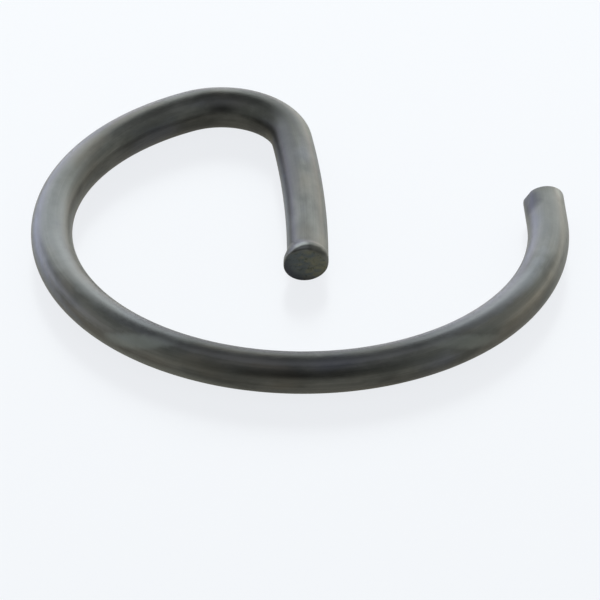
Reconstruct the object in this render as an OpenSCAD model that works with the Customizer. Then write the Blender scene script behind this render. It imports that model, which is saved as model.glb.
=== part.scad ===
// Round wire retaining ring: an open spring ring with one end bent inwards as a gripping tang.
// Millimetres, +Z up. The origin is the middle of the ring, on the wire's middle plane.
// Angles are measured at the middle of the ring from +X, anticlockwise seen from above.

/* [Wire] */
// Diameter of the round spring wire
wire_d = 1.0; // [0.7:0.05:1.3]

/* [Ring] */
// Outer diameter of the free ring, over the wire
ring_od = 13.0; // [12:0.25:18]
// Angle at which the wire leaves the circle for the straight run of the plain end
run_angle = 4; // [-40:1:15]
// Angle at which the wire leaves the circle and bends inwards
bend_angle = 117.3; // [100:0.1:140]

/* [Bend and tang] */
// Radius of the inward bend, at the middle of the wire
bend_r = 1.75; // [1.2:0.05:2.2]
// Angle that the wire turns through in the bend
bend_turn = 108.4; // [95:0.1:115]
// Length of the tang, from the end of the bend to the middle of its cut face
tang_len = 5.49; // [3.5:0.01:6.5]
// Radius of the slight bow that the tang keeps, at the middle of the wire
tang_bow_r = 34; // [24:1:80]

/* [Plain end] */
// Length of the straight run, from the circle to the middle of its cut face
run_len = 1.07; // [0.8:0.01:2.5]
// Angle by which the cut leaves the outer side of the wire longer than the inner side
run_cut_side = 8; // [0:1:25]
// Angle by which the cut leaves the underside of the wire longer than the top
run_cut_rise = 15; // [0:1:25]
// Depth of the flat that the cutter leaves beside this cut
run_flat_depth = 0.03; // [0.01:0.005:0.06]
// Length of that flat, back from the cut
run_flat_len = 0.55; // [0.3:0.05:0.7]
// Direction in which that flat faces, from the outer side of the ring up over the wire
run_flat_angle = 150; // [110:5:170]

/* [Tang end] */
// Angle by which the cut leaves the tang longer on the side away from the mouth
tang_cut_side = 7; // [0:1:15]
// Angle by which the cut leaves the top of the tang longer than the underside
tang_cut_rise = 10; // [0:1:15]
// How far the spread metal at the cut face stands out past the wire, away from the mouth
lip_far_side = 0.08; // [0.03:0.002:0.1]
// How far it stands out on the side towards the mouth
lip_near_side = 0.004; // [0.002:0.002:0.04]
// Length over which the wire spreads out to the cut face
lip_len = 0.7; // [0.5:0.01:0.9]
// Radius round the rim of the cut face
lip_rim_r = 0.06; // [0.02:0.01:0.1]

/* [Hidden] */
// Facets to a full turn of the wire's section and of the round stretches
$fn = 72;
wire_r = wire_d / 2;
ring_r = ring_od / 2 - wire_r;
// Turn of the open ring, from the plain end's run round to the bend
ring_turn = 360 - bend_angle + run_angle;
// Turn of the tang's bow, as an angle
tang_turn = tang_len / tang_bow_r * 180 / PI;
// A stretch whose ends nest in its neighbours is thinner by this, and reaches in by this length
nest_step = 0.002;
nest_len = 0.02;
nested_r = wire_r - nest_step;
// The turned lip at the tang's end: its radius, its distance off the middle of the wire, and
// the radius at which it starts, which lies this deep inside the wire
lip_r = wire_r + (lip_far_side + lip_near_side) / 2;
lip_shift = (lip_far_side - lip_near_side) / 2;
lip_root_depth = 0.08;
lip_root_r = wire_r - lip_root_depth;
// Length of the lip's straight stretch on each side of the slanted cut
lip_straight = lip_r * (tan(tang_cut_side) + tan(tang_cut_rise)) + lip_rim_r;
// Edge length of the blocks that cut the ends, and the stock that a slanted cut takes off
cut_size = 4 * wire_d;
cut_stock = wire_d;

// A stretch of round wire bent to a radius, drawn clockwise from local +X for the given turn
module bent_wire(radius, turn) {
    rotate([0, 0, -turn])
        rotate_extrude(angle = turn)
            translate([radius, 0])
                circle(r = wire_r);
}

// The same, thinner by a hair, with both ends reaching into the stretches beside it
module nested_bent_wire(radius, turn) {
    reach = nest_len / radius * 180 / PI;
    rotate([0, 0, -turn - reach])
        rotate_extrude(angle = turn + 2 * reach)
            translate([radius, 0])
                circle(r = nested_r);
}

// Places its children where the ring ends and the bend starts, seen from the middle of the bend
module at_bend() {
    rotate([0, 0, bend_angle])
        translate([ring_r - bend_r, 0, 0])
            children();
}

// Places its children at the middle of the tang's bow, with the tang starting on local +X
module at_tang_bow() {
    at_bend()
        rotate([0, 0, -bend_turn])
            translate([bend_r - tang_bow_r, 0, 0])
                children();
}

// Places its children at the tang's cut face, with local +Z along the wire and out of it
module at_tang_end() {
    at_tang_bow()
        rotate([0, 0, -tang_turn])
            translate([tang_bow_r, 0, 0])
                rotate([90, 0, 0])
                    children();
}

// Places its children where the slanted cut takes off the tang, with local +Z out of the wire
module at_tang_cut() {
    at_tang_end()
        translate([-lip_shift, 0, -lip_rim_r])
            rotate([tang_cut_rise, tang_cut_side, 0])
                children();
}

// Places its children at the middle of the plain end's cut, with local +Z out of the wire
module at_run_end() {
    rotate([0, 0, run_angle])
        translate([ring_r, run_len, 0])
            rotate([-90, 0, 0])
                children();
}

// The block that cuts a sloping flat on a wire's end, facing local +X before it is turned
module flat_cutter(facing, depth, length) {
    rotate([0, 0, facing])
        translate([wire_r - depth, 0, 0])
            rotate([0, -atan(depth / length), 0])
                translate([0, -cut_size / 2, -cut_size / 2])
                    cube(cut_size);
}

// The open ring, from the plain end's run round to the start of the bend
module open_ring() {
    rotate([0, 0, run_angle])
        bent_wire(ring_r, ring_turn);
}

// The plain end: a straight run with a slanted shear cut and the cutter's flat beside it
module plain_end() {
    difference() {
        rotate([0, 0, run_angle])
            translate([ring_r, -nest_len, 0])
                rotate([-90, 0, 0])
                    cylinder(r = nested_r, h = nest_len + run_len + cut_stock);
        at_run_end()
            rotate([run_cut_rise, -run_cut_side, 0])
                translate([-cut_size / 2, -cut_size / 2, 0])
                    cube(cut_size);
        at_run_end()
            flat_cutter(-run_flat_angle, run_flat_depth, run_flat_len);
    }
}

// The lip of metal that the cut has spread, a turned form that widens towards the cut
module spread_lip() {
    translate([-lip_shift, 0, 0])
        rotate_extrude()
            polygon([
                [0, -lip_len],
                [lip_root_r, -lip_len],
                [lip_r, -lip_straight],
                [lip_r, lip_straight],
                [0, lip_straight]
            ]);
}

// The end of the lip beyond the cut, down to the cut face, with a rounded rim
module lip_rim() {
    rim_r = lip_r - nest_step;
    rotate_extrude() {
        polygon([
            [0, -nest_step],
            [rim_r, -nest_step],
            [rim_r, 0],
            [rim_r - lip_rim_r, lip_rim_r],
            [0, lip_rim_r]
        ]);
        translate([rim_r - lip_rim_r, 0])
            circle(r = lip_rim_r);
    }
}

// The tang: the slightly bowed wire with its spread end, cut off at a slant
module tang() {
    difference() {
        union() {
            at_tang_bow()
                bent_wire(tang_bow_r, tang_turn + lip_straight / 2 / tang_bow_r * 180 / PI);
            at_tang_end()
                spread_lip();
        }
        at_tang_cut()
            translate([-cut_size / 2, -cut_size / 2, 0])
                cube(cut_size);
    }
    at_tang_cut()
        lip_rim();
}

// The whole ring, bent from one length of wire
module wire_ring() {
    color([0.36, 0.36, 0.34])
        union() {
            open_ring();
            plain_end();
            at_bend()
                nested_bent_wire(bend_r, bend_turn);
            tang();
        }
}

wire_ring();
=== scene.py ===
"""Dresses the wire retaining ring: its drawn spring wire, its bend and tang, and its sheared ends."""

import logging
import math
from dataclasses import dataclass
from enum import Enum

import bpy
from mathutils import Matrix, Vector


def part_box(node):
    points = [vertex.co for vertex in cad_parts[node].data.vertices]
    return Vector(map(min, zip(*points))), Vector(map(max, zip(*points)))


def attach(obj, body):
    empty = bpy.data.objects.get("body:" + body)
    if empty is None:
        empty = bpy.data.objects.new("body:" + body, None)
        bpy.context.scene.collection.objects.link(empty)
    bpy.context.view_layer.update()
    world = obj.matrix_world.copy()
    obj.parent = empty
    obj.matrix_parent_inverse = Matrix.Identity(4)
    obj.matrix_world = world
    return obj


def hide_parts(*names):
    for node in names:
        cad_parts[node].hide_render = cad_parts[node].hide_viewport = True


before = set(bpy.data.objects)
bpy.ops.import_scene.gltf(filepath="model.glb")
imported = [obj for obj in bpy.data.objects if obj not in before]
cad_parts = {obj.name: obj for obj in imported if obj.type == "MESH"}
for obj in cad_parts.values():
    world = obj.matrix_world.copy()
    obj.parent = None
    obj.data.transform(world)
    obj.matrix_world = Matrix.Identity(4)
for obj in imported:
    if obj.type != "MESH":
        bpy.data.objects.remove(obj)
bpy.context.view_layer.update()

LOG = logging.getLogger("retaining_ring")
NODE = "wire_ring"
BODY = "root"
SLOT = "spring_steel"
MM = 0.001
WIRES_ACROSS_RING = 13.0
UP = (0.0, 0.0, 1.0)
FULL_TURN = 2.0 * math.pi
NOISE_MIDDLE = 0.5
# Places of a mix node's colour sockets, which come after those for numbers and vectors
MIX_FIRST = 6
MIX_SECOND = 7
MIX_RESULT = 2

Colour = tuple[float, float, float]


class Mark(Enum):
    """Names of the values that the wire's mesh carries for its finish."""

    STRAIGHT = "wire_co"
    FACE = "cut_face"
    NIP = "nip_flat"
    END = "near_cut"


class Wiring:
    """Adds nodes to one node tree and links them."""

    def __init__(self, tree: bpy.types.NodeTree) -> None:
        """Keeps the tree.

        Args:
            tree: The geometry or shader tree that the nodes go into.
        """
        self.tree = tree

    def node(self, kind: str, **settings: object) -> bpy.types.Node:
        """Adds a node.

        Args:
            kind: The node's type name.
            **settings: Properties to set on it.

        Returns:
            The new node.
        """
        made = self.tree.nodes.new(kind)
        for name, value in settings.items():
            setattr(made, name, value)
        return made

    def feed(self, socket: bpy.types.NodeSocket, source: object) -> None:
        """Links an input to a worked value or another socket, or sets it.

        Args:
            socket: The input.
            source: A Number, an Arrow, a socket or a plain value.
        """
        if isinstance(source, (Number, Arrow)):
            self.tree.links.new(source.socket, socket)
        elif isinstance(source, bpy.types.NodeSocket):
            self.tree.links.new(source, socket)
        else:
            socket.default_value = source

    def fill(self, made: bpy.types.Node, **inputs: object) -> bpy.types.Node:
        """Feeds a node's inputs by name, with spaces written as underscores.

        Args:
            made: The node.
            **inputs: What each input takes.

        Returns:
            The same node.
        """
        for name, source in inputs.items():
            self.feed(made.inputs[name.replace("_", " ")], source)
        return made

    def arrow(self, x: object, y: object, z: object) -> "Arrow":
        """Puts three numbers together as a vector."""
        made = self.fill(self.node("ShaderNodeCombineXYZ"), X=x, Y=y, Z=z)
        return Arrow(self, made.outputs[0])

    def noise(
        self, place: "Arrow", seed: object, detail: float, roughness: float = 0.5
    ) -> "Number":
        """Adds a four-dimensional noise of unit scale.

        Args:
            place: Where it is read.
            seed: Its fourth coordinate.
            detail: How many finer layers it has.
            roughness: How strong the finer layers are.

        Returns:
            The noise, about 0.5 on average.
        """
        made = self.node("ShaderNodeTexNoise", noise_dimensions="4D")
        self.fill(made, Vector=place, W=seed, Scale=1.0, Detail=detail, Roughness=roughness)
        return Number(self, made.outputs[0])

    def blend(
        self, share: object, first: object, second: object, label: str = ""
    ) -> bpy.types.NodeSocket:
        """Mixes two colours.

        Args:
            share: How much of the second colour there is, from 0 to 1.
            first: A socket or three plain numbers.
            second: The same for the second colour.
            label: What the second colour stands for.

        Returns:
            The mixed colour.
        """
        made = self.node("ShaderNodeMix", data_type="RGBA", label=label)
        self.feed(made.inputs["Factor"], share)
        for place, source in ((MIX_FIRST, first), (MIX_SECOND, second)):
            colour = (*source, 1.0) if isinstance(source, tuple) else source
            self.feed(made.inputs[place], colour)
        return made.outputs[MIX_RESULT]


class Number:
    """A number that a node tree works out, with arithmetic that adds nodes."""

    def __init__(self, wiring: Wiring, socket: bpy.types.NodeSocket) -> None:
        """Keeps the tree's wiring and the socket that gives the number."""
        self.wiring = wiring
        self.socket = socket

    def math(self, operation: str, *others: object) -> "Number":
        """Adds a math node.

        Args:
            operation: The node's operation.
            *others: The second and third inputs.

        Returns:
            The node's result.
        """
        made = self.wiring.node("ShaderNodeMath", operation=operation)
        for socket, source in zip(made.inputs, (self, *others)):
            self.wiring.feed(socket, source)
        return Number(self.wiring, made.outputs[0])

    def __add__(self, other: object) -> "Number":
        """Adds."""
        return self.math("ADD", other)

    def __sub__(self, other: object) -> "Number":
        """Subtracts."""
        return self.math("SUBTRACT", other)

    def __rsub__(self, other: float) -> "Number":
        """Takes this number from a plain one."""
        return self.math("MULTIPLY", -1.0).math("ADD", other)

    def __mul__(self, other: object) -> "Number":
        """Multiplies."""
        return self.math("MULTIPLY", other)

    def __truediv__(self, other: object) -> "Number":
        """Divides."""
        return self.math("DIVIDE", other)

    def kept_within(self, low: object = 0.0, high: object = 1.0) -> "Number":
        """Holds the number between two limits."""
        return self.math("MAXIMUM", low).math("MINIMUM", high)

    def centred(self) -> "Number":
        """Takes a noise's average off it, so that it swings about 0."""
        return self - NOISE_MIDDLE

    def eased(self) -> "Number":
        """Turns a rise from 0 to 1 into a smooth one."""
        held = self.kept_within()
        return held * held * (3.0 - held * 2.0)

    def peaked(self) -> "Number":
        """Gives 1 where this share is a half, and 0 where it is none or all."""
        return (self * (1.0 - self) * 4.0).kept_within()

    def mixed(self, low: object, high: object) -> "Number":
        """Gives low where this number is 0 and high where it is 1."""
        return self * (Number.of(self.wiring, high) - low) + low

    @staticmethod
    def of(wiring: Wiring, value: object) -> "Number":
        """Makes a worked number of a plain one, and leaves a worked one as it is.

        Args:
            wiring: The wiring of the tree that it is for.
            value: A Number or a plain number.

        Returns:
            A worked number of the same value.
        """
        if isinstance(value, Number):
            return value
        made = wiring.node("ShaderNodeValue")
        made.outputs[0].default_value = value
        return Number(wiring, made.outputs[0])


class Arrow:
    """A vector that a node tree works out."""

    def __init__(self, wiring: Wiring, socket: bpy.types.NodeSocket) -> None:
        """Keeps the tree's wiring and the socket that gives the vector."""
        self.wiring = wiring
        self.socket = socket

    def math(self, operation: str, other: object) -> "Arrow":
        """Adds a vector math node of two vectors.

        Args:
            operation: The node's operation.
            other: The second vector.

        Returns:
            The node's result.
        """
        made = self.wiring.node("ShaderNodeVectorMath", operation=operation)
        self.wiring.feed(made.inputs[0], self)
        self.wiring.feed(made.inputs[1], other)
        return Arrow(self.wiring, made.outputs[0])

    def __add__(self, other: "Arrow") -> "Arrow":
        """Adds."""
        return self.math("ADD", other)

    def __mul__(self, other: object) -> "Arrow":
        """Scales by a number."""
        made = self.wiring.node("ShaderNodeVectorMath", operation="SCALE")
        self.wiring.fill(made, Vector=self, Scale=other)
        return Arrow(self.wiring, made.outputs[0])

    def parts(self) -> tuple[Number, Number, Number]:
        """Splits the vector into its three numbers."""
        made = self.wiring.node("ShaderNodeSeparateXYZ")
        self.wiring.feed(made.inputs[0], self)
        x, y, z = (Number(self.wiring, out) for out in made.outputs)
        return x, y, z


@dataclass(frozen=True)
class Ramp:
    """A smooth rise, from 0 at one value to its strength at another."""

    start: float
    end: float
    strength: float = 1.0

    def of(self, value: Number) -> Number:
        """Reads the ramp at a value."""
        return ((value - self.start) / (self.end - self.start)).eased() * self.strength


@dataclass(frozen=True)
class Grain:
    """A noise on the straightened wire: how often it changes in a millimetre, and how finely."""

    rates: tuple[float, float, float]
    seed: float
    detail: float
    roughness: float = 0.5

    def read(self, wiring: Wiring, place: tuple[Number, Number, Number]) -> Number:
        """Reads the noise at a place.

        Args:
            wiring: The finish's wiring.
            place: Three distances in millimetres, in the order of the rates.

        Returns:
            The noise, about 0.5 on average.
        """
        scaled = (distance * rate for distance, rate in zip(place, self.rates))
        return wiring.noise(wiring.arrow(*scaled), self.seed, self.detail, self.roughness)


@dataclass(frozen=True)
class WireRoute:
    """The middle line of the wire: plain end, ring, bend, and tang up to its cut face."""

    ring_r: float
    run_angle: float = math.radians(4.0)
    run_len: float = 1.07 * MM
    bend_angle: float = math.radians(117.3)
    bend_r: float = 1.75 * MM
    bend_turn: float = math.radians(108.4)
    tang_len: float = 5.49 * MM
    tang_bow_r: float = 34.0 * MM
    step: float = 0.04 * MM

    def ring_turn(self) -> float:
        """Gives the turn of the open ring, from the plain end's run round to the bend."""
        return FULL_TURN + self.run_angle - self.bend_angle

    def length(self) -> float:
        """Adds up the wire's length from one cut to the other."""
        bent = self.ring_r * self.ring_turn() + self.bend_r * self.bend_turn
        return self.run_len + bent + self.tang_len

    def points(self) -> list[Vector]:
        """Lists closely spaced points along the wire.

        Returns:
            Points in the ring's plane, in metres.
        """
        leave = self._on_circle(Vector(), self.ring_r, self.run_angle)
        ahead = Vector((-math.sin(self.run_angle), math.cos(self.run_angle), 0.0))
        count = round(self.run_len / self.step)
        run = [leave + ahead * (self.run_len * (count - i) / count) for i in range(count)]
        ring = self._arc(Vector(), self.ring_r, self.run_angle, self.ring_turn())
        bend_mid = self._on_circle(Vector(), self.ring_r - self.bend_r, self.bend_angle)
        bend = self._arc(bend_mid, self.bend_r, self.bend_angle, self.bend_turn)
        tang_start = self.bend_angle - self.bend_turn
        bow_mid = self._on_circle(bend_mid, self.bend_r - self.tang_bow_r, tang_start)
        bow_turn = self.tang_len / self.tang_bow_r
        tang = self._arc(bow_mid, self.tang_bow_r, tang_start, bow_turn)
        return run + ring[:-1] + bend[:-1] + tang

    @staticmethod
    def _on_circle(middle: Vector, radius: float, angle: float) -> Vector:
        """Gives the point of a circle at an angle."""
        return middle + Vector((math.cos(angle), math.sin(angle), 0.0)) * radius

    def _arc(self, middle: Vector, radius: float, start: float, turn: float) -> list[Vector]:
        """Lists points clockwise along an arc.

        Args:
            middle: The arc's middle.
            radius: Its radius.
            start: The angle at which it starts.
            turn: How far it turns.

        Returns:
            Points from the start to the end of the arc.
        """
        count = math.ceil(radius * turn / self.step)
        angles = (start - turn * i / count for i in range(count + 1))
        return [self._on_circle(middle, radius, angle) for angle in angles]


@dataclass(frozen=True)
class CutEnds:
    """The shear marks at both ends of the wire."""

    plain_side_slant: float = math.radians(8.0)
    plain_rise_slant: float = math.radians(15.0)
    plain_rim_r: float = 0.03 * MM
    plain_flat_depth: float = 0.03 * MM
    plain_flat_len: float = 0.55 * MM
    plain_flat_facing: float = math.radians(150.0)
    # Least cosine to the flat's facing, which keeps the flat's distance from running away
    flat_least_cos: float = 0.2
    # The flat's mark is full where the flat takes off its depth divided by this
    flat_mark_gain: float = 3.0
    tang_side_slant: float = math.radians(7.0)
    tang_rise_slant: float = math.radians(10.0)
    lip_far_side: float = 0.08 * MM
    lip_near_side: float = 0.004 * MM
    lip_len: float = 0.7 * MM
    lip_straight: float = 0.22 * MM
    lip_root_depth: float = 0.08 * MM
    tang_rim_r: float = 0.03 * MM
    tang_rim_wear: float = 4.2
    tang_rim_worn_at: float = math.radians(62.0)
    worn_len: float = 0.5 * MM
    torn_depth: float = 0.035 * MM
    shear_step: float = 0.02 * MM
    # How often the torn relief changes over a wire's radius, sideways and in rise
    crumbs_across: float = 3.2
    crumbs_up: float = 4.6
    crumb_detail: float = 4.0
    crumb_roughness: float = 0.6
    # How far the tang's noise lies from the plain end's
    tang_seed_step: float = 3.0
    # The border between the bladed and the torn part: how ragged, how leaning and how wide
    border_ragged: float = 0.9
    border_lean: float = 0.25
    border_width: float = 0.5
    # Share of the torn relief that the bladed part has too
    bladed_relief: float = 0.2


@dataclass(frozen=True)
class Spot:
    """A patch of painted highlight, painted reflection or painted shade on the wire (one is a plain
    dark patch), oval in the wire's own unrolled surface.

    Along and half_len are millimetres, facing and half_turn are degrees, and lean is the
    degrees by which the spot turns round the wire for each millimetre along it.
    """

    name: str
    along: float
    facing: float
    half_len: float
    half_turn: float
    lean: float
    colour: Colour
    strength: float
    ragged: float = 0.9

    def share(self, along: Number, turn: Number, wander: Number, length: float) -> Number:
        """Works out how much of the spot each place on the wire has.

        Args:
            along: The distance from the plain end, in millimetres.
            turn: The angle round the wire from its outer side.
            wander: A noise that makes the spot's edge uneven.
            length: The wire's length in millimetres; a spot below 0 counts back from it.

        Returns:
            0 off the spot, rising to its strength in the middle.
        """
        beyond = along - (self.along if self.along >= 0.0 else length + self.along)
        aside = turn - math.radians(self.facing) - beyond * math.radians(self.lean)
        aside = aside / math.radians(self.half_turn)
        beyond = beyond / self.half_len
        reach = 1.0 - beyond * beyond - aside * aside
        return (reach + wander.centred() * self.ragged).eased() * self.strength


# The wire's painted highlights, painted reflections and painted shade, with one dark patch, from the
# first laid to the last, each over those before it
SPOTS = (
    # Painted reflections of the lamps on the front arc, with painted sheen and painted shade round
    # them
    Spot("painted sheen round the front right reflection", 5.6, 46.0, 1.4, 24.0, 0.0, (0.150, 0.150, 0.142), 0.35),
    Spot("painted reflection, front right", 7.0, 37.0, 1.15, 27.0, 40.0, (0.155, 0.160, 0.150), 0.60),
    Spot("painted reflection, front left", 14.7, 35.0, 1.30, 28.0, -40.0, (0.190, 0.200, 0.190), 0.65),
    # Painted sheen and painted highlights where the wire faces the light
    Spot("painted sheen, plain end", 1.6, 75.0, 2.0, 95.0, 0.0, (0.155, 0.155, 0.150), 0.35),
    Spot("painted sheen, far left", 19.9, 90.0, 2.3, 110.0, 0.0, (0.150, 0.155, 0.160), 0.45),
    # Painted shade where the wire faces away from the light
    Spot("painted shade, bend", 29.6, 95.0, 2.2, 110.0, 0.0, (0.045, 0.045, 0.041), 0.60),
    Spot("painted highlight, top right", 5.6, 88.0, 3.6, 34.0, 0.0, (0.170, 0.177, 0.195), 0.55),
    Spot("painted highlight, top left", 17.0, 90.0, 3.8, 34.0, 0.0, (0.185, 0.187, 0.185), 0.55),
    # A darker patch beside the plain cut
    Spot("dark patch by the plain cut", 0.54, 146.0, 0.58, 54.0, 0.0, (0.029, 0.029, 0.038), 0.82),
    Spot("painted highlight band, front", 11.0, 66.0, 6.5, 18.0, 0.0, (0.170, 0.172, 0.178), 0.40),
    Spot("painted shade, front top", 11.0, 104.0, 6.5, 27.0, 0.0, (0.043, 0.043, 0.042), 0.74),
    Spot("painted cool reflection, left side", 18.6, 16.0, 2.8, 20.0, 11.0, (0.165, 0.175, 0.215), 0.50),
    Spot("painted shade by the front right reflection", 8.4, 30.0, 1.2, 30.0, 0.0, (0.055, 0.055, 0.051), 0.45),
    Spot("painted shade, front side", 11.4, 22.0, 3.0, 26.0, 0.0, (0.058, 0.058, 0.054), 0.40),
    Spot("painted sheen, low left side", 14.8, -32.0, 3.4, 26.0, 0.0, (0.180, 0.185, 0.172), 0.60),
    Spot("painted sheen, back left top", 22.6, 72.0, 1.9, 34.0, 0.0, (0.150, 0.150, 0.148), 0.40),
    Spot("painted shade, back left inside", 22.4, 136.0, 1.9, 26.0, 0.0, (0.060, 0.060, 0.057), 0.45),
    Spot("painted sheen, bend outside", 29.8, 48.0, 1.3, 36.0, 0.0, (0.145, 0.145, 0.138), 0.55),
    Spot("painted shade past the bend", 31.5, 116.0, 2.4, 28.0, 0.0, (0.050, 0.050, 0.055), 0.62),
    Spot("painted sheen, bend inside", 27.9, 146.0, 0.7, 30.0, 0.0, (0.120, 0.120, 0.115), 0.50),
    Spot("painted shade, tang near side", 33.4, 44.0, 2.2, 32.0, 0.0, (0.060, 0.060, 0.057), 0.50),
    Spot("painted cool sheen, tang far side", 32.8, 163.0, 3.4, 22.0, 0.0, (0.165, 0.180, 0.235), 0.62),
    # Painted shade and painted glints round the two cut ends
    Spot("painted shade beside the tang's glint", -0.12, 46.0, 0.16, 27.0, 0.0, (0.052, 0.052, 0.047), 0.60),
    Spot("painted highlight, plain cut's edge", 0.10, 42.0, 0.50, 24.0, 0.0, (0.230, 0.230, 0.225), 0.60),
    Spot("painted glint above the tang's cut", -0.18, 107.0, 0.15, 25.0, 0.0, (0.190, 0.195, 0.190), 0.90),
)


class WireSurface:
    """What the finish reads at each place on the wire: the mesh's marks and the noises."""

    def __init__(self, wiring: Wiring, finish: "SpringWireFinish") -> None:
        """Reads the marks and adds the noises.

        Args:
            wiring: The finish's wiring.
            finish: The finish, which says how each noise runs.
        """
        self.wiring = wiring
        self.along, self.across, self.rise = Arrow(wiring, self._read(Mark.STRAIGHT)).parts()
        self.face = Number(wiring, self._read(Mark.FACE))
        self.nip = Number(wiring, self._read(Mark.NIP))
        self.end = Number(wiring, self._read(Mark.END))
        place = (self.along, self.across, self.rise)
        self.long_marks = finish.long_marks.read(wiring, place)
        self.fine_marks = finish.fine_marks.read(wiring, place)
        self.blotch = finish.blotch.read(wiring, place)
        self.tint = finish.tint.read(wiring, place)
        self.grit = finish.grit.read(wiring, place)
        self.wander = finish.wander.read(wiring, place)
        self.tears = finish.tears.read(wiring, (self.across, self.rise, self.along))
        self.bare = finish.bare_where.of(self.face)

    def _read(self, mark: Mark) -> bpy.types.NodeSocket:
        """Reads one of the mesh's marks."""
        output = "Vector" if mark is Mark.STRAIGHT else "Fac"
        return self.wiring.node("ShaderNodeAttribute", attribute_name=mark.value).outputs[output]


@dataclass(frozen=True)
class SpringWireFinish:
    """Dark oiled spring wire, satin, drawn lengthwise, with duller sheared faces."""

    dull: Colour = (0.068, 0.068, 0.064)
    bright: Colour = (0.118, 0.117, 0.109)
    blued: Colour = (0.082, 0.086, 0.109)
    bronzed: Colour = (0.117, 0.104, 0.087)
    torn: Colour = (0.098, 0.110, 0.118)
    torn_light: Colour = (0.156, 0.154, 0.116)
    pit: Colour = (0.040, 0.042, 0.032)
    # Colour of the painted shade towards the cut faces' rim, low on their inner side
    painted_face_shade: Colour = (0.052, 0.054, 0.068)
    worn_edge: Colour = (0.210, 0.210, 0.200)
    spots: tuple[Spot, ...] = SPOTS

    long_marks: Grain = Grain((0.10, 13.0, 13.0), 3.0, 3.0, 0.6)
    fine_marks: Grain = Grain((0.55, 34.0, 34.0), 7.0, 2.0, 0.6)
    blotch: Grain = Grain((0.75, 1.6, 1.6), 11.0, 4.0, 0.55)
    tint: Grain = Grain((0.42, 1.1, 1.1), 17.0, 2.0)
    grit: Grain = Grain((9.0, 9.0, 9.0), 23.0, 4.0, 0.65)
    wander: Grain = Grain((3.4, 3.4, 3.4), 37.0, 4.0, 0.6)
    tears: Grain = Grain((5.0, 9.0, 1.0), 29.0, 4.0, 0.7)

    bright_where: Ramp = Ramp(0.36, 0.64)
    blued_where: Ramp = Ramp(0.52, 0.70, 0.55)
    bronzed_where: Ramp = Ramp(0.48, 0.32, 0.55)
    speck_where: Ramp = Ramp(0.60, 0.72, 0.35)
    bare_where: Ramp = Ramp(0.45, 1.0)
    bared_where: Ramp = Ramp(0.36, 0.70)
    pitted_where: Ramp = Ramp(0.53, 0.66, 0.6)
    # Where the cut faces' painted shade lies: out towards the rim, and low on the inner side
    painted_shade_outwards: Ramp = Ramp(0.30, 0.50, 0.8)
    painted_shade_low: Ramp = Ramp(0.05, 0.45)
    long_streak: float = 0.5
    fine_streak: float = 0.45
    nip_share: float = 0.40
    rim_share: float = 0.12
    bared_lean: float = 0.35
    painted_shade_lean: float = 0.7

    wire_roughness: float = 0.40
    roughness_spread: float = 0.16
    grit_roughness: float = 0.10
    end_roughness: float = 0.04
    torn_roughness: float = 0.62
    roughness_limits: tuple[float, float] = (0.1, 0.9)
    mark_depth: float = 0.0016 * MM
    long_relief: float = 0.6
    fine_relief: float = 0.4
    grit_relief: float = 0.8
    torn_bump: float = 0.011 * MM
    metallic: float = 1.0

    def material(self, length: float) -> bpy.types.Material:
        """Builds the material.

        Args:
            length: The wire's length in millimetres.

        Returns:
            The finish, which reads its place from the mesh's own marks.
        """
        made = bpy.data.materials.new(SLOT)
        made.use_nodes = True
        made.node_tree.nodes.clear()
        wiring = Wiring(made.node_tree)
        at = WireSurface(wiring, self)
        torn = self._torn_colour(at)
        colour = wiring.blend(at.bare, self._wire_colour(at, length), torn, "cut faces")
        bump = wiring.node("ShaderNodeBump")
        wiring.fill(bump, Strength=1.0, Distance=1.0, Height=self._relief(at))
        shader = wiring.node("ShaderNodeBsdfPrincipled")
        wiring.fill(shader, Base_Color=colour, Metallic=self.metallic)
        wiring.fill(shader, Roughness=self._roughness(at), Normal=bump.outputs["Normal"])
        output = wiring.node("ShaderNodeOutputMaterial")
        wiring.fill(output, Surface=shader.outputs[0])
        return made

    def _wire_colour(self, at: WireSurface, length: float) -> bpy.types.NodeSocket:
        """Works out the colour of the drawn wire, with its streaks, painted highlights and painted
        shade, and worn rims.

        Args:
            at: What the finish reads.
            length: The wire's length in millimetres.

        Returns:
            The colour away from the cut faces.
        """
        blend = at.wiring.blend
        colour = blend(self.bright_where.of(at.blotch), self.dull, self.bright, "bright")
        colour = blend(self.blued_where.of(at.tint), colour, self.blued, "blued")
        colour = blend(self.bronzed_where.of(at.tint), colour, self.bronzed, "bronzed")
        streak = at.long_marks.centred() * self.long_streak
        streak = streak + at.fine_marks.centred() * self.fine_streak
        colour = (Arrow(at.wiring, colour) * (streak + 1.0)).socket
        colour = blend(self.speck_where.of(at.grit), colour, self.dull, "specks")
        colour = blend(at.nip * self.nip_share, colour, self.torn, "cutter's flat")
        turn = at.rise.math("ARCTAN2", at.across)
        # Painted highlights, painted reflections and painted shade, laid patch by patch over the
        # wire's colour
        for spot in self.spots:
            share = spot.share(at.along, turn, at.wander, length)
            colour = blend(share, colour, spot.colour, spot.name)
        return blend(at.face.peaked() * self.rim_share, colour, self.worn_edge, "worn rims")

    def _torn_colour(self, at: WireSurface) -> bpy.types.NodeSocket:
        """Works out the colour of the cut faces, pitted, with painted shade towards the rim low on
        their inner side.

        Args:
            at: What the finish reads.

        Returns:
            The colour on the cut faces.
        """
        blend = at.wiring.blend
        bared = self.bared_where.of(at.tears + at.across * self.bared_lean)
        colour = blend(bared, self.torn, self.torn_light, "bared")
        colour = blend(self.pitted_where.of(at.grit), colour, self.pit, "pits")
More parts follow.
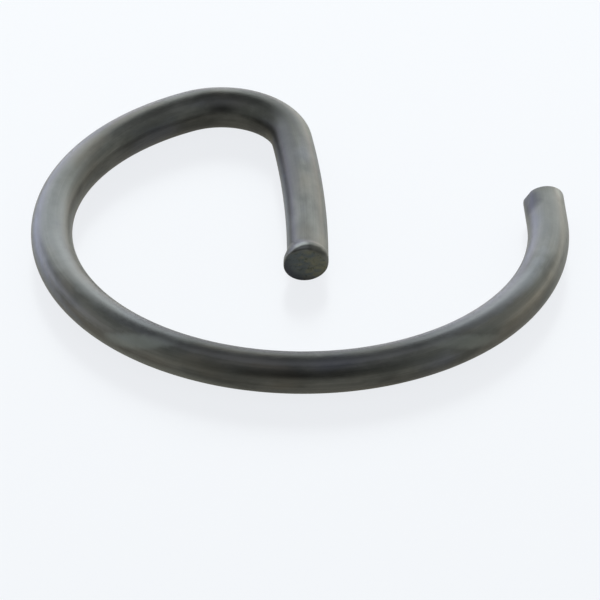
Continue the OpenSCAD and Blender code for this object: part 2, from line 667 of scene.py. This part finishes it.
        # Painted shade: the cut face darker towards its rim, low on its inner side
        outwards = (at.across * at.across + at.rise * at.rise).math("SQRT")
        inwards_low = at.across * -self.painted_shade_lean - at.rise * self.painted_shade_lean
        painted_shade_share = self.painted_shade_outwards.of(outwards) * self.painted_shade_low.of(inwards_low)
        return blend(painted_shade_share, colour, self.painted_face_shade, "painted_face_shade")

    def _roughness(self, at: WireSurface) -> Number:
        """Works out how rough the wire and its cut faces look.

        Args:
            at: What the finish reads.

        Returns:
            The roughness.
        """
        rough = at.blotch.centred() * self.roughness_spread
        rough = rough + at.grit.centred() * self.grit_roughness + self.wire_roughness
        rough = rough + at.end * self.end_roughness
        return at.bare.mixed(rough, self.torn_roughness).kept_within(*self.roughness_limits)

    def _relief(self, at: WireSurface) -> Number:
        """Works out the height of the drawing marks, the grit and the torn metal.

        Args:
            at: What the finish reads.

        Returns:
            The height in metres.
        """
        lines = at.long_marks * self.long_relief + at.fine_marks * self.fine_relief
        lines = lines * (1.0 - at.bare) * self.mark_depth
        grit = at.grit * self.mark_depth * self.grit_relief
        return lines + grit + at.tears * at.bare * self.torn_bump


@dataclass(frozen=True)
class Station:
    """A place on the sweep's sheet: where it lies along and round the straightened wire.

    Inset is 0 on the wire's skin and 1 at the middle of a cut face.
    """

    along: Number
    to_tang: Number
    cos: Number
    sin: Number
    inset: Number
    on_tang: Number
    rim: Number


@dataclass(frozen=True)
class Skin:
    """A point of the wire's skin: its place off the middle line, and the marks of the cuts."""

    across: Number
    rise: Number
    push: Number
    bare: Number
    nip: Number


@dataclass(frozen=True)
class SpringWire:
    """The ring's one length of wire, swept along its route with both cut ends."""

    wire_r: float
    route: WireRoute
    ends: CutEnds
    finish: SpringWireFinish
    rings: int = 980
    sides: int = 72
    cap_rings: int = 22
    waviness: float = 0.006 * MM
    wave_len: float = 1.3 * MM
    wave_round: float = 0.7
    wave_detail: float = 2.0
    blend_len: float = 0.012 * MM
    seed: float = 5.0
    merge_gap: float = 0.0002 * MM

    def build(self) -> bpy.types.Object:
        """Sweeps the wire and gives it its finish.

        Returns:
            The wire as a plain mesh object at the origin.
        """
        points = self.route.points()
        line = bpy.data.meshes.new("wire_line")
        line.from_pydata(points, [(i, i + 1) for i in range(len(points) - 1)], [])
        piece = bpy.data.objects.new("spring_wire", line)
        bpy.context.scene.collection.objects.link(piece)
        tree = self._tree()
        modifier = piece.modifiers.new("sweep", "NODES")
        modifier.node_group = tree
        self._set_inputs(modifier, tree)
        seen = bpy.context.evaluated_depsgraph_get()
        swept = bpy.data.meshes.new_from_object(piece.evaluated_get(seen), depsgraph=seen)
        swept.name = "spring_wire"
        piece.modifiers.remove(modifier)
        piece.data = swept
        bpy.data.meshes.remove(line)
        bpy.data.node_groups.remove(tree)
        LOG.info("spring wire: %d vertices, %d faces", len(swept.vertices), len(swept.polygons))
        return piece

    def _sizes(self) -> dict[str, float]:
        """Names the sizes that the sweep takes.

        Returns:
            Each input's name and its value.
        """
        ends = self.ends
        return {
            "Wire radius": self.wire_r,
            "Plain rim radius": ends.plain_rim_r,
            "Plain side slant": math.tan(ends.plain_side_slant),
            "Plain rise slant": math.tan(ends.plain_rise_slant),
            "Tang side slant": math.tan(ends.tang_side_slant),
            "Tang rise slant": math.tan(ends.tang_rise_slant),
            "Slant reach": self.route.run_len,
            "Plain flat depth": ends.plain_flat_depth,
            "Plain flat length": ends.plain_flat_len,
            "Plain flat facing": ends.plain_flat_facing,
            "Lip far side": ends.lip_far_side,
            "Lip near side": ends.lip_near_side,
            "Lip length": ends.lip_len,
            "Lip straight": ends.lip_straight,
            "Lip root depth": ends.lip_root_depth,
            "Tang rim radius": ends.tang_rim_r,
            "Tang rim wear": ends.tang_rim_wear,
            "Tang rim worn at": ends.tang_rim_worn_at,
            "Worn length": ends.worn_len,
            "Torn depth": ends.torn_depth,
            "Shear step": ends.shear_step,
            "Waviness": self.waviness,
            "Wave length": self.wave_len,
            "Blend length": self.blend_len,
            "Merge gap": self.merge_gap,
            "Seed": self.seed,
        }

    def _counts(self) -> dict[str, int]:
        """Names the counts that the sweep takes."""
        return {"Rings": self.rings, "Sides": self.sides, "Cap rings": self.cap_rings}

    def _set_inputs(self, modifier: bpy.types.NodesModifier, tree: bpy.types.NodeTree) -> None:
        """Sets the modifier's inputs by their sockets' identifiers.

        Args:
            modifier: The sweep on the wire's line.
            tree: The sweep's node tree.
        """
        finish = self.finish.material(self.route.length() / MM)
        values = {**self._sizes(), **self._counts(), "Finish": finish}
        for item in tree.interface.items_tree:
            if item.in_out == "INPUT" and item.name in values:
                modifier[item.identifier] = values[item.name]

    def _add_sockets(self, tree: bpy.types.NodeTree) -> None:
        """Gives the sweep its named inputs and its output.

        Args:
            tree: The sweep's node tree.
        """
        inputs = {"Line": "NodeSocketGeometry"}
        inputs.update(dict.fromkeys(self._sizes(), "NodeSocketFloat"))
        inputs.update(dict.fromkeys(self._counts(), "NodeSocketInt"))
        inputs["Finish"] = "NodeSocketMaterial"
        for name, kind in inputs.items():
            tree.interface.new_socket(name, in_out="INPUT", socket_type=kind)
        tree.interface.new_socket("Wire", in_out="OUTPUT", socket_type="NodeSocketGeometry")

    def _tree(self) -> bpy.types.NodeTree:
        """Builds the sweep: a sheet of stations, rolled up on the route.

        Returns:
            The geometry tree.
        """
        tree = bpy.data.node_groups.new("wire_sweep", "GeometryNodeTree")
        self._add_sockets(tree)
        wiring = Wiring(tree)
        inlet = wiring.node("NodeGroupInput").outputs
        names = (*self._sizes(), *self._counts())
        size = {name: Number(wiring, inlet[name]) for name in names}

        line = wiring.fill(wiring.node("GeometryNodeMeshToCurve"), Mesh=inlet["Line"]).outputs[0]
        measure = wiring.fill(wiring.node("GeometryNodeCurveLength"), Curve=line)
        at = self._station(wiring, size, Number(wiring, measure.outputs[0]))
        skin = self._skin(wiring, size, at)

        sheet = wiring.node("GeometryNodeMeshGrid")
        wiring.fill(sheet, Size_X=1.0, Size_Y=1.0)
        wiring.fill(sheet, Vertices_X=size["Rings"], Vertices_Y=size["Sides"] + 1.0)
        shape = self._marked(wiring, size, sheet.outputs["Mesh"], at, skin)
        placed = wiring.node("GeometryNodeSetPosition")
        wiring.fill(placed, Geometry=shape, Position=self._on_route(wiring, line, at, skin))
        merged = wiring.node("GeometryNodeMergeByDistance")
        wiring.fill(merged, Geometry=placed.outputs[0], Distance=size["Merge gap"])
        smooth = wiring.node("GeometryNodeSetShadeSmooth")
        wiring.feed(smooth.inputs[0], merged.outputs[0])
        real = wiring.node("GeometryNodeRealizeInstances")
        wiring.fill(real, Geometry=smooth.outputs[0])
        dressed = wiring.node("GeometryNodeSetMaterial")
        wiring.fill(dressed, Geometry=real.outputs[0], Material=inlet["Finish"])
        outlet = wiring.node("NodeGroupOutput")
        wiring.feed(outlet.inputs[0], dressed.outputs[0])
        return tree

    @staticmethod
    def _station(wiring: Wiring, size: dict[str, Number], length: Number) -> Station:
        """Works out where a point of the sheet lies on the straightened wire.

        Args:
            wiring: The sweep's wiring.
            size: The sweep's inputs by name.
            length: The wire's length.

        Returns:
            The point's place along and round the wire, and its place on a cut face.
        """
        place = Arrow(wiring, wiring.node("GeometryNodeInputPosition").outputs[0])
        half_sheet = 0.5
        column, row, _ = place.parts()
        last = size["Rings"] - 1.0
        column = (column + half_sheet) * last
        turn = (row + half_sheet) * FULL_TURN
        cos, sin = turn.math("COSINE"), turn.math("SINE")

        from_start = (column / size["Cap rings"]).kept_within()
        from_finish = ((last - column) / size["Cap rings"]).kept_within()
        inset = 1.0 - from_start.math("MINIMUM", from_finish)
        body = (column - size["Cap rings"]) / (last - size["Cap rings"] * 2.0)
        body = body.kept_within()
        on_tang = body.math("GREATER_THAN", 0.5)
        worn_at = size["Tang rim worn at"]
        towards = cos * worn_at.math("COSINE") + sin * worn_at.math("SINE")
        tang_rim = size["Tang rim radius"] * (towards.eased() * size["Tang rim wear"] + 1.0)
        rim = on_tang.mixed(size["Plain rim radius"], tang_rim)
        span = length - size["Plain rim radius"] - tang_rim
        along = body * span + size["Plain rim radius"]
        return Station(along, length - along, cos, sin, inset, on_tang, rim)

    def _skin(self, wiring: Wiring, size: dict[str, Number], at: Station) -> Skin:
        """Works out the wire's skin at a station, with the rims and reliefs of both cuts.

        Args:
            wiring: The sweep's wiring.
            size: The sweep's inputs by name.
            at: The station.

        Returns:
            The point off the middle line, how far the cuts push it along the wire, and its marks.
        """
        radius, nip = self._section(wiring, size, at)
        reach = radius * (1.0 - at.inset * at.inset)
        across, rise = reach * at.cos, reach * at.sin
        over = ((reach - radius + at.rim) / at.rim).kept_within()
        drop = (1.0 - (1.0 - over * over).math("SQRT")) * at.rim
        bare = 1.0 - over
        relief = self._shear(wiring, size, across, rise, at.on_tang) * bare.eased()
        outward = at.on_tang * 2.0 - 1.0
        push = (at.rim - drop + relief) * outward
        slant = across * size["Plain side slant"] - rise * size["Plain rise slant"]
        push = push - slant * (1.0 - at.along / size["Slant reach"]).eased()
        slant = rise * size["Tang rise slant"] - across * size["Tang side slant"]
        push = push + slant * (1.0 - at.to_tang / size["Slant reach"]).eased()
        return Skin(across, rise, push, bare, nip)

    @staticmethod
    def _on_route(
        wiring: Wiring, line: bpy.types.NodeSocket, at: Station, skin: Skin
    ) -> Arrow:
        """Carries a point of the straightened wire to its place on the route.

        Args:
            wiring: The sweep's wiring.
            line: The route as a curve.
            at: The point's station.
            skin: The point off the middle line.

        Returns:
            The place in the ring's frame.
        """
        sample = wiring.node("GeometryNodeSampleCurve", mode="LENGTH")
        wiring.feed(sample.inputs["Curves"], line)
        wiring.feed(sample.inputs["Length"], at.along)
        way = Arrow(wiring, sample.outputs["Tangent"])
        up = wiring.arrow(*UP)
        side = up.math("CROSS_PRODUCT", way)
        spot = Arrow(wiring, sample.outputs["Position"]) + side * skin.across + up * skin.rise
        return spot + way * skin.push

    def _section(
        self, wiring: Wiring, size: dict[str, Number], at: Station
    ) -> tuple[Number, Number]:
        """Works out the wire's radius at a station, with the lip and the cutter's flat.

        Args:
            wiring: The sweep's wiring.
            size: The sweep's inputs by name.
            at: The station.

        Returns:
            The radius, and how far the flat cuts it, up to 1.
        """
        wire_r, ends = size["Wire radius"], self.ends
        swing = (at.along / size["Wave length"], at.cos * self.wave_round, at.sin * self.wave_round)
        wave = wiring.noise(wiring.arrow(*swing), size["Seed"], self.wave_detail)
        round_r = wire_r + wave.centred() * size["Waviness"]

        far, near = size["Lip far side"], size["Lip near side"]
        lip_r = wire_r + (far + near) * 0.5
        shift = (far - near) * 0.5
        root_r = wire_r - size["Lip root depth"]
        flare = (size["Lip length"] - at.to_tang) / (size["Lip length"] - size["Lip straight"])
        cone_r = flare.kept_within().mixed(root_r, lip_r)
        chord = (cone_r * cone_r - shift * shift * at.sin * at.sin).math("SQRT")
        lip = chord - shift * at.cos
        spread = round_r.math("SMOOTH_MAX", lip, size["Blend length"])

        facing = size["Plain flat facing"]
        towards = at.cos * facing.math("COSINE") + at.sin * facing.math("SINE")
        depth = size["Plain flat depth"] * (1.0 - at.along / size["Plain flat length"])
        flat = (wire_r - depth) / towards.math("MAXIMUM", ends.flat_least_cos)
        held = depth.math("GREATER_THAN", 0.0)
        nipped = held.mixed(spread, spread.math("MINIMUM", flat))
        nip = (spread - nipped) / size["Plain flat depth"] * ends.flat_mark_gain
        return nipped, nip.kept_within()

    def _shear(
        self,
        wiring: Wiring,
        size: dict[str, Number],
        across: Number,
        rise: Number,
        on_tang: Number,
    ) -> Number:
        """Works out the relief of the cut faces: smooth where bladed, torn where the wire broke.

        Args:
            wiring: The sweep's wiring.
            size: The sweep's inputs by name.
            across: The place on the face, outwards from the middle of the wire.
            rise: The place on the face, upwards.
            on_tang: 1 on the tang's face and 0 on the plain end's.

        Returns:
            How far the face stands out or in.
        """
        ends = self.ends
        x, z = across / size["Wire radius"], rise / size["Wire radius"]
        place = wiring.arrow(x * ends.crumbs_across, z * ends.crumbs_up, on_tang)
        seed = size["Seed"] + on_tang * ends.tang_seed_step
        crumbs = wiring.noise(place, seed, ends.crumb_detail, ends.crumb_roughness).centred()
        below = z * -1.0 + crumbs * ends.border_ragged + x * ends.border_lean
        broken = (below / ends.border_width + 0.5).eased()
        torn = crumbs * size["Torn depth"]
        torn = torn * (broken * (1.0 - ends.bladed_relief) + ends.bladed_relief)
        return torn - broken * size["Shear step"]

    @staticmethod
    def _marked(
        wiring: Wiring,
        size: dict[str, Number],
        shape: bpy.types.NodeSocket,
        at: Station,
        skin: Skin,
    ) -> bpy.types.NodeSocket:
        """Writes the marks that the finish reads on the mesh's points.

        Args:
            wiring: The sweep's wiring.
            size: The sweep's inputs by name.
            shape: The sheet's mesh.
            at: Each point's station.
            skin: Each point's place off the middle line.

        Returns:
            The mesh with its marks.
        """
        to_mm = 1.0 / MM
        straight = wiring.arrow(at.along * to_mm, skin.across * to_mm, skin.rise * to_mm)
        nearest = at.along.math("MINIMUM", at.to_tang)
        near_end = (1.0 - nearest / size["Worn length"]).eased()
        marks = {
            Mark.STRAIGHT: ("FLOAT_VECTOR", straight),
            Mark.FACE: ("FLOAT", skin.bare),
            Mark.NIP: ("FLOAT", skin.nip),
            Mark.END: ("FLOAT", near_end),
        }
        for mark, (kind, value) in marks.items():
            made = wiring.node(
                "GeometryNodeStoreNamedAttribute", data_type=kind, domain="POINT"
            )
            wiring.fill(made, Geometry=shape, Name=mark.value, Value=value)
            shape = made.outputs[0]
        return shape


@dataclass(frozen=True)
class PhotoCamera:
    """The camera at the photograph's viewing angle, found by fitting the ring's outline.

    The eye's place is told in radii of the ring's middle circle.
    """

    ring_r: float
    eye: tuple[float, float, float] = (0.0023, -24.658, 16.367)
    elevation: float = math.radians(34.11)
    roll: float = math.radians(0.55)
    focal_px: float = 7348.0
    frame_px: float = 600.0
    sensor: float = 36.0

    def place(self) -> bpy.types.Object:
        """Makes the camera and makes it the scene's own.

        Returns:
            The camera.
        """
        data = bpy.data.cameras.new("photo_camera")
        data.sensor_width = self.sensor
        data.lens = self.sensor * self.focal_px / self.frame_px
        data.clip_start = self.ring_r
        ahead = Vector((0.0, math.cos(self.elevation), -math.sin(self.elevation)))
        right = Vector((1.0, 0.0, 0.0))
        up = right.cross(ahead)
        turned = right * math.cos(self.roll) + up * math.sin(self.roll)
        upright = up * math.cos(self.roll) - right * math.sin(self.roll)
        axes = Matrix((turned, upright, -ahead)).transposed().to_4x4()
        camera = bpy.data.objects.new("photo_camera", data)
        camera.matrix_world = Matrix.Translation(Vector(self.eye) * self.ring_r) @ axes
        bpy.context.scene.collection.objects.link(camera)
        bpy.context.scene.camera = camera
        return camera


@dataclass(frozen=True)
class SoftBox:
    """A soft rectangular studio lamp that faces the ring."""

    name: str
    place: tuple[float, float, float]
    width: float
    height: float
    radiance: float
    tint: Colour = (1.0, 1.0, 1.0)

    def light(self) -> None:
        """Makes the lamp, as bright to look at as its radiance says."""
        data = bpy.data.lights.new(self.name, "AREA")
        data.shape = "RECTANGLE"
        data.size = self.width
        data.size_y = self.height
        data.energy = self.radiance * math.pi * self.width * self.height
        data.color = self.tint
        lamp = bpy.data.objects.new(self.name, data)
        spot = Vector(self.place)
        facing = spot.to_track_quat("Z", "Y").to_matrix().to_4x4()
        lamp.matrix_world = Matrix.Translation(spot) @ facing
        lamp.visible_camera = False
        bpy.context.scene.collection.objects.link(lamp)


@dataclass(frozen=True)
class Glow:
    """One soft part of the studio's light: how bright it is, in each colour."""

    light: Colour

    def over(self, wiring: Wiring, share: object) -> Arrow:
        """Gives its light where a share is 1, and less of it elsewhere.

        Args:
            wiring: The wiring of the walls or the floor.
            share: How much of it there is.

        Returns:
            The light.
        """
        return wiring.arrow(*self.light) * share


@dataclass(frozen=True)
class Studio:
    """The plain pale floor and the plain soft light.

    The light's levels began as a fit of the wire's tones to the photograph's.
    """

    floor_z: float
    floor_half: float = 2.0
    floor_colour: float = 0.80
    floor_seen: float = 0.052
    floor_roughness: float = 0.28
    floor_gloss: float = 0.16
    floor_pale: Glow = Glow((0.797, 0.814, 0.842))
    floor_glow: Glow = Glow((0.287, 0.276, 0.224))
    even: Glow = Glow((0.03, 0.03, 0.03))
    horizon_left: Glow = Glow((3.38, 3.54, 4.82))
    horizon_right: Glow = Glow((3.83, 3.70, 3.29))
    sides: Glow = Glow((0.660, 0.710, 0.680))
    overhead: Glow = Glow((0.470, 0.490, 0.540))
    back_box: SoftBox = SoftBox(
        "back_box", (0.0, 0.343, 0.206), 0.67, 0.185, 3.25, (0.92, 0.99, 1.0)
    )
    # Where each part of the walls' light begins and ends, by the direction's own numbers
    behind: Ramp = Ramp(-0.4, 0.8)
    off_horizon: Ramp = Ramp(0.0, 0.3)
    sideways: Ramp = Ramp(0.2, 0.8)
    rightwards: Ramp = Ramp(-0.6, 0.6)
    high: Ramp = Ramp(0.5, 0.9)
    past_middle: Ramp = Ramp(-0.1, 0.4)

    def build(self) -> None:
        """Makes the floor, the walls' light and the lamp."""
        self._floor()
        self._world()
        self.back_box.light()

    def _floor(self) -> None:
        """Makes the floor that the ring lies on, which a camera or a gloss sees a little paler."""
        half = self.floor_half
        corners = [(-half, -half), (half, -half), (half, half), (-half, half)]
        mesh = bpy.data.meshes.new("floor")
        mesh.from_pydata([(x, y, self.floor_z) for x, y in corners], [], [(0, 1, 2, 3)])
        floor = bpy.data.objects.new("floor", mesh)
        bpy.context.scene.collection.objects.link(floor)
        paint = bpy.data.materials.new("pale_floor")
        paint.use_nodes = True
        wiring = Wiring(paint.node_tree)
        shader = paint.node_tree.nodes["Principled BSDF"]
        wiring.fill(shader, Roughness=self.floor_roughness, Specular_IOR_Level=self.floor_gloss)
        ray = wiring.node("ShaderNodeLightPath").outputs
        camera = Number(wiring, ray["Is Camera Ray"])
        gloss = Number(wiring, ray["Is Glossy Ray"])
        tone = camera.mixed(self.floor_colour, self.floor_seen)
        glow = self.floor_pale.over(wiring, camera)
        glow = glow + self.floor_glow.over(wiring, gloss * (1.0 - camera))
        wiring.fill(shader, Base_Color=wiring.arrow(tone, tone, tone))
        wiring.fill(shader, Emission_Color=glow, Emission_Strength=1.0)
        mesh.materials.append(paint)

    def _world(self) -> None:
        """Lights the studio's walls: bright low down behind, softer at the sides, dim overhead."""
        world = bpy.data.worlds.new("studio")
        world.use_nodes = True
        world.node_tree.nodes.clear()
        wiring = Wiring(world.node_tree)
        ways = wiring.node("ShaderNodeTexCoord").outputs["Generated"]
        right, back, rise = Arrow(wiring, ways).parts()
        low_behind = self.behind.of(back) * (1.0 - self.off_horizon.of(rise))
        warm = self.rightwards.of(right)
        above = self.high.of(rise) * (1.0 - self.past_middle.of(back))
        light = self.even.over(wiring, 1.0)
        light = light + self.sides.over(wiring, self.sideways.of(right.math("ABSOLUTE")))
        light = light + self.overhead.over(wiring, above)
        light = light + self.horizon_left.over(wiring, low_behind * (1.0 - warm))
        light = light + self.horizon_right.over(wiring, low_behind * warm)
        sky = wiring.fill(wiring.node("ShaderNodeBackground"), Color=light, Strength=1.0)
        output = wiring.node("ShaderNodeOutputWorld")
        wiring.fill(output, Surface=sky.outputs[0])
        bpy.context.scene.world = world


def main() -> None:
    """Builds the camera, the wire and the studio in order."""
    logging.basicConfig(level=logging.INFO, format="%(name)s: %(message)s")
    low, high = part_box(NODE)
    outer_r = (high[0] - low[0]) / 2.0
    wire_r = outer_r / WIRES_ACROSS_RING
    ring_r = outer_r - wire_r
    PhotoCamera(ring_r).place()
    LOG.info("camera placed for a ring of %.2f mm", ring_r * 2.0 / MM)

    wire = SpringWire(wire_r, WireRoute(ring_r), CutEnds(), SpringWireFinish()).build()
    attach(wire, BODY)
    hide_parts(NODE)

    Studio(floor_z=low[2]).build()
    LOG.info("studio set round the ring")
    bpy.context.scene.view_settings.view_transform = "Standard"


if __name__ == "__main__":
    main()
